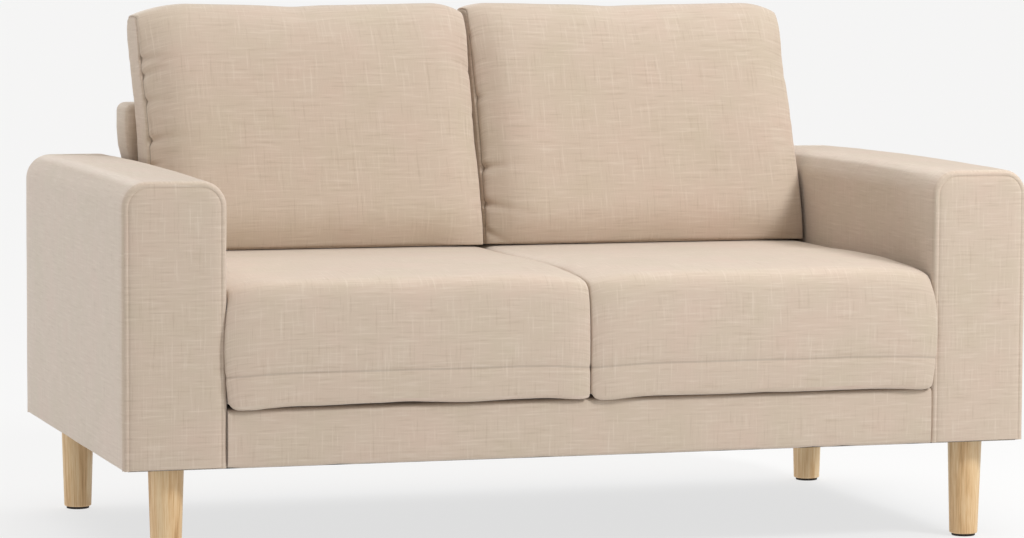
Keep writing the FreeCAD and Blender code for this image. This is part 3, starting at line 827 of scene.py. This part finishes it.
# %% Seams and tucks
def seam_fields(sewn, insets, base_seam):
    """Signed distances to the two seam lines: the loop that joins each end panel to the rest, a
    given way in from the edges of the left end and the right end, and the line above the base."""
    low = sewn.min(axis=0)
    high = sewn.max(axis=0)
    x, y, z = sewn.T
    over_base = z - (low[2] + base_seam)
    inset = np.where(x < (low[0] + high[0]) / 2, insets[0], insets[1])
    from_end = np.minimum(x - low[0], high[0] - x)
    from_face = np.minimum.reduce([y - low[1], high[1] - y, high[2] - z, over_base + inset])
    return from_face - from_end - inset, over_base


def pucker(heights, loop, place, depth, length, slope):
    """A short tuck that runs from the end seam into the front panel."""
    into_panel = np.maximum(-loop, 0)
    into_end = np.maximum(loop, 0)
    across = (heights - place - slope * into_panel) / TUCK_WIDTH
    return depth * np.exp(-across ** 2 - into_panel / length - into_end / TUCK_END)


def sew_cushion(cushion, loop, line, depth):
    """Draws the cloth in along both seams and stores their distances for the material."""
    points, normals = read_points(cushion)
    pull = np.maximum(np.exp(-(loop / SEAM_DIP) ** 2), np.exp(-(line / SEAM_DIP) ** 2))
    write_points(cushion, points - normals * (depth * pull)[:, None])
    for name, values in (("loop_seam", loop), ("base_seam", line)):
        attribute = cushion.data.attributes.new(name, "FLOAT", "POINT")
        attribute.data.foreach_set("value", values.astype(np.float32))


# %% Cover and filling
def per_face(piece, values):
    """The mean of a point value over each face."""
    mesh = piece.data
    corners = np.empty(len(mesh.loops), np.int32)
    mesh.loops.foreach_get("vertex_index", corners)
    sides = np.empty(len(mesh.polygons), np.int32)
    mesh.polygons.foreach_get("loop_total", sides)
    starts = np.concatenate([[0], np.cumsum(sides)[:-1]])
    return np.add.reduceat(values[corners], starts) / sides


def dress_cushion(cushion, sewn, loop, body, cover_node):
    """Gives a cushion its cloth, its body and the cover node that it stands for."""
    x, y, z = sewn.T
    ends = per_face(cushion, loop) > 0
    base = per_face(cushion, z) < z.min() + 4 * MM
    lay_cloth(cushion, ([(x, y + z), (y, z), (x, y)], np.where(ends, 1, np.where(base, 2, 0))))
    select_only(cushion)
    bpy.ops.object.shade_smooth()
    cushion.data.materials.clear()
    cushion.data.materials.append(sewn_cloth)
    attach(cushion, body)
    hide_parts(cover_node)
    print(cushion.name, len(cushion.data.polygons), "faces")


def filling(cushion, body, core_node, shape):
    """The foam or fibre inside a cushion: the same swollen shape, set in by CORE_INSET."""
    core = cushion.copy()
    core.data = cushion.data.copy()
    core.name = cushion.name + "_filling"
    bpy.context.scene.collection.objects.link(core)
    points, _ = read_points(core)
    write_points(core, shape(points))
    points, normals = read_points(core)
    uneven = unevenness(points, [(60 * MM, 30, 0.4 * MM)])
    write_points(core, points - normals * (CORE_INSET + uneven)[:, None])
    core.data.materials.clear()
    core.data.materials.append(FINISHES["foam"])
    select_only(core)
    bpy.ops.object.shade_smooth()
    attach(core, body)
    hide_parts(core_node)
    return core


def tuck_inside(core, cover):
    """Draws in the points of a filling that lie nearer than CORE_GAP to its cover, or past it."""
    skin = BVHTree.FromPolygons([v.co for v in cover.data.vertices],
                                [p.vertices for p in cover.data.polygons])
    points, _ = read_points(core)
    drawn_in = 0
    for _ in range(3):
        for index, point in enumerate(points):
            surface, normal, _, _ = skin.find_nearest(Vector(point))
            if (surface - Vector(point)).dot(normal) < CORE_GAP:
                points[index] = surface - normal * CORE_GAP
                drawn_in += 1
    write_points(core, points)
    print(core.name, "points drawn in", drawn_in)


# %% [markdown]
# ## Seat cushions
# The top panel of a seat cushion runs over the front edge and down to a low seam. End panels close
# the two ends, and a border and a bottom panel close the rest. The foam inside is firm, so the
# front stays upright and the crown is gentle. Side by side, the cushions press flat against each
# other and the arms, and they sit flat on the platform.

# %% Seat cushions
SEAT_SEAM_RISE = 40 * MM
SEAT_ROUNDING = 42 * MM
SEAT_PRESSES = [(14, 6, 14, 6), (10, 20, 6, 8), (13, 5, 26, 14)]
SEAT_LIP = 12 * MM
SEAT_CROWN = 5 * MM
SEAT_END_TUCK = 5 * MM
SEAT_FALL = (7 * MM, 9 * MM)
SEAT_SET_BACK = (4 * MM, 8 * MM)
SEAT_SEW_DEPTH = 1.1 * MM
OVER_ARM = 9 * MM


def seat_cushion(side_name, seed):
    """One stuffed seat cushion."""
    low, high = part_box("seat_cushion_cover_" + side_name)
    cushion = stuffed_block("seat_cushion_" + side_name, low, high, SEAT_ROUNDING,
                            (0.55, 0.45, 0.6, 0.15), (4 * MM, 5 * MM, 7 * MM), 0.3, 30)
    outer = -1 if side_name == "left" else 1

    def shape(points):
        points = draw_to_size(points, low, high, SEAT_PRESSES)
        from_end = np.minimum(points[:, 0] - low.x, high.x - points[:, 0])
        forward = np.clip((high.y - points[:, 1]) / (high.y - low.y), 0, 1)
        upward = (points[:, 2] - low.z) / (high.z - low.z)
        points[:, 1] += forward * near(from_end, 45 * MM) * SEAT_END_TUCK
        in_front = ease_in(points[:, 1], low.y + 0.43, low.y + 0.25)
        points[:, 2] += upward * in_front * (1 - near(from_end, 60 * MM)) * SEAT_CROWN
        at_end = near(from_end, 150 * MM)
        fall = SEAT_FALL[0] + SEAT_FALL[1] * at_end
        points[:, 2] -= upward * near(points[:, 1] - low.y, 190 * MM) * fall
        set_back = SEAT_SET_BACK[0] + SEAT_SET_BACK[1] * at_end
        points[:, 1] += forward * near(high.z - points[:, 2], 110 * MM) * set_back
        overhang = ease_in(points[:, 1], FRONT_Y - 2 * MM, FRONT_Y - 6 * MM)
        points[:, 2] -= overhang * near(points[:, 2] - low.z, 40 * MM) * SEAT_LIP
        outward = toward_end(points[:, 0], low.x, high.x, outer) ** 8
        free_front = ease_in(points[:, 1], FRONT_Y + 8 * MM, FRONT_Y - 7 * MM)
        rise = crown(np.clip((points[:, 2] - low.z) / (high.z - low.z), 0, 1))
        points[:, 0] += outer * OVER_ARM * outward * free_front * rise
        return points

    core = filling(cushion, "seat_cushion_" + side_name, "seat_cushion_foam_" + side_name, shape)
    refine(cushion)
    sewn = sewn_places(cushion)
    loop, line = seam_fields(sewn, (SEAT_ROUNDING, SEAT_ROUNDING), SEAT_SEAM_RISE)
    points, normals = read_points(cushion)
    uneven = unevenness(points, [(120 * MM, seed, 1.6 * MM), (45 * MM, seed + 1, 0.5 * MM)])
    write_points(cushion, shape(points + normals * uneven[:, None]))
    sew_cushion(cushion, loop, line, SEAT_SEW_DEPTH)
    dress_cushion(cushion, sewn, loop, "seat_cushion_" + side_name,
                  "seat_cushion_cover_" + side_name)
    tuck_inside(core, cushion)


seat_cushion("left", 11)
seat_cushion("right", 14)

# %% [markdown]
# ## Back cushions
# A back cushion is stuffed upright and then leaned on the back frame, where its base spreads and
# its top is thinner. Its front panel runs over the top, and narrow end panels close it. The fibre
# inside is softer than foam, so the cloth puckers where it is gathered into the end seams.

# %% Back cushions
BACK_ROUNDING = 34 * MM
BACK_SEAM_DEPTH = (-3 * MM, 10 * MM)
END_TAPER = 10 * MM
LEFT_SHOULDER = 21 * MM
RIGHT_SHOULDER = 5 * MM
BASE_TUCK = 11 * MM
TOP_TUCK = 6 * MM
GATHER_SIZE = 13 * MM
GATHER_DEPTH = 2.0 * MM
BACK_SEW_DEPTH = 2.4 * MM
BACK_PRESSES = [(20, 8, 20, 8), (0, 6, 5, 8), (22, 6, 8, 14)]
BACK_SEAM_RISE = 9 * MM
BACK_THICK_BASE = 134 * MM
BACK_THICK_TOP = 96 * MM
BACK_LEAN = 94 * MM


def back_cushion(side_name, seed, corners, puckers):
    """One stuffed back cushion, leaning back. corners gives the reach and the drop of its two top
    corners. puckers lists its tucks as (end, height, depth, length, slope), with end -1 for the
    left end and 1 for the right."""
    low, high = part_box("back_cushion_cover_" + side_name)
    rest_y, rest_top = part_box("back_cover")[0].y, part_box("back_cover")[1].z
    thick = (BACK_THICK_BASE + BACK_THICK_TOP) / 2
    upright_low = Vector((low.x, 0, low.z))
    upright_high = Vector((high.x, thick, high.z))
    cushion = stuffed_block("back_cushion_" + side_name, upright_low, upright_high, BACK_ROUNDING,
                            (0.8, 0.45, 0.8, 0.25), (6 * MM, 12 * MM, 8 * MM), 0.75, 26)
    outer = -1 if side_name == "left" else 1

    def shape(points):
        points = draw_to_size(points, upright_low, upright_high, BACK_PRESSES)
        forward = np.clip(1 - points[:, 1] / thick, 0, 1)
        points[:, 1] += forward * near(points[:, 0] - low.x, 95 * MM) * LEFT_SHOULDER
        points[:, 1] += forward * near(high.x - points[:, 0], 60 * MM) * RIGHT_SHOULDER
        points[:, 0] += forward * ease_in(points[:, 0], low.x + 60 * MM, low.x) * END_TAPER
        points[:, 1] += forward * near(points[:, 2] - low.z, 70 * MM) * BASE_TUCK
        points[:, 1] += forward * near(high.z - points[:, 2], 60 * MM) * TOP_TUCK
        upward = ease_in(points[:, 2], low.z, high.z)
        for from_end, (reach, drop) in zip((points[:, 0] - low.x, high.x - points[:, 0]), corners):
            points[:, 2] -= upward * near(from_end, reach) * drop
        share = (points[:, 2] - low.z) / (high.z - low.z)
        thickness = BACK_THICK_BASE + (BACK_THICK_TOP - BACK_THICK_BASE) * share
        rear = low.y + BACK_THICK_BASE + BACK_LEAN * share
        points[:, 1] = rear - thickness * (1 - points[:, 1] / thick)
        held = soft_limit(points[:, 1], -1.0, rest_y - 0.3 * MM, 4 * MM, 4 * MM)
        points[:, 1] = np.where(points[:, 2] < rest_top + 4 * MM, held, points[:, 1])
        outward = toward_end(points[:, 0], low.x, high.x, outer) ** 6
        height = ease_in(points[:, 2], arm_top + 10 * MM, high.z - 60 * MM)
        spread = height * OVER_ARM * 0.5 if outer < 0 else (1 - height) * OVER_ARM * 0.7
        points[:, 0] += outer * outward * spread
        return points

    core = filling(cushion, "back_cushion_" + side_name, "back_cushion_filling_" + side_name, shape)
    refine(cushion)
    sewn = sewn_places(cushion)
    loop, line = seam_fields(sewn, BACK_SEAM_DEPTH, BACK_SEAM_RISE)
    points, normals = read_points(cushion)
    uneven = unevenness(points, [(130 * MM, seed, 1.2 * MM), (50 * MM, seed + 1, 0.6 * MM)])
    middle_x = (low.x + high.x) / 2
    ends = np.sign(sewn[:, 0] - middle_x)
    front_half = sewn[:, 1] < thick / 2
    gathers = np.array([noise.noise(Vector((z / GATHER_SIZE, end * 3.7, seed)))
                        for z, end in zip(sewn[:, 2], ends)])
    uneven += gathers * GATHER_DEPTH * np.exp(-np.abs(loop) / (26 * MM))
    for end, height, depth, length, slope in puckers:
        tuck = pucker(sewn[:, 2], loop, height, depth, length, slope)
        uneven -= np.where(front_half & (ends == end), tuck, 0)
    write_points(cushion, shape(points + normals * uneven[:, None]))
    sew_cushion(cushion, loop, line, BACK_SEW_DEPTH)
    dress_cushion(cushion, sewn, loop, "back_cushion_" + side_name,
                  "back_cushion_cover_" + side_name)
    tuck_inside(core, cushion)


back_cushion("left", 21, ((95 * MM, 22 * MM), (50 * MM, 14 * MM)),
             [(-1, 0.728, 10 * MM, 34 * MM, -0.15), (-1, 0.703, 8 * MM, 30 * MM, 0.1),
              (-1, 0.665, 6 * MM, 26 * MM, -0.05),
              (-1, 0.606, 10 * MM, 32 * MM, 0.05), (-1, 0.566, 7 * MM, 18 * MM, 0.3),
              (1, 0.700, 6 * MM, 30 * MM, 0.2), (1, 0.640, 5 * MM, 20 * MM, -0.1)])
back_cushion("right", 24, ((50 * MM, 10 * MM), (55 * MM, 14 * MM)),
             [(-1, 0.748, 8 * MM, 20 * MM, 0.0), (-1, 0.660, 6 * MM, 24 * MM, 0.1),
              (-1, 0.556, 12 * MM, 34 * MM, 0.1),
              (-1, 0.507, 12 * MM, 30 * MM, -0.1), (-1, 0.475, 8 * MM, 26 * MM, -0.5),
              (1, 0.690, 5 * MM, 20 * MM, 0.1)])

# %% [markdown]
# ## The studio
# A plain pale floor runs out of sight behind the sofa. It glows a little, as a floor lit through a
# white screen does, so its shadows stay light. The key lamp stands near, high to the front right, a
# very broad lamp hangs overhead, a low one fills the outside of the left arm from behind, and an
# even pale surround does the rest.

# %% Studio
bpy.ops.object.select_all(action="DESELECT")
bpy.ops.mesh.primitive_plane_add(size=400, location=(0, 0, 0))
floor = bpy.context.object
floor.name = "studio_floor"
floor_finish, _, floor_shader = new_material("backlit_studio_floor", roughness=1.0)
floor_shader.inputs["Base Color"].default_value = linear("#7A7A7A")
floor_shader.inputs["Specular IOR Level"].default_value = 0.0
floor_shader.inputs["Emission Color"].default_value = linear("#FFFFFF")
floor_shader.inputs["Emission Strength"].default_value = 0.72
floor.data.materials.append(floor_finish)


def add_lamp(name, kind, power, spread, toward, place=(0, 0, 0)):
    """A soft lamp. A far one (SUN) shines from a direction and spreads in degrees; a near one
    (AREA) is a square of a given size that faces its aim."""
    data = bpy.data.lights.new(name, kind)
    data.energy = power
    if kind == "SUN":
        data.angle = math.radians(spread)
    else:
        data.size = spread
    lamp = bpy.data.objects.new(name, data)
    bpy.context.scene.collection.objects.link(lamp)
    lamp.location = place
    lamp.rotation_euler = Vector(toward).to_track_quat("Z", "Y").to_euler()


KEY_PLACE = Vector((1.9, -2.3, 2.6))
add_lamp("key_lamp", "AREA", 72, 0.7, KEY_PLACE - Vector((0.1, 0, 0.4)), KEY_PLACE)
add_lamp("overhead_lamp", "SUN", 1.85, 70, (0.12, 0.2, 1.0))
add_lamp("fill_lamp", "SUN", 1.0, 10, (-0.90, 0.40, 0.0))

world = bpy.data.worlds.new("white_surround")
bpy.context.scene.world = world
world.use_nodes = True
surround = world.node_tree.nodes["Background"]
surround.inputs["Color"].default_value = linear("#FFFBF5")
surround.inputs["Strength"].default_value = 0.42
bpy.context.scene.view_settings.view_transform = "Standard"
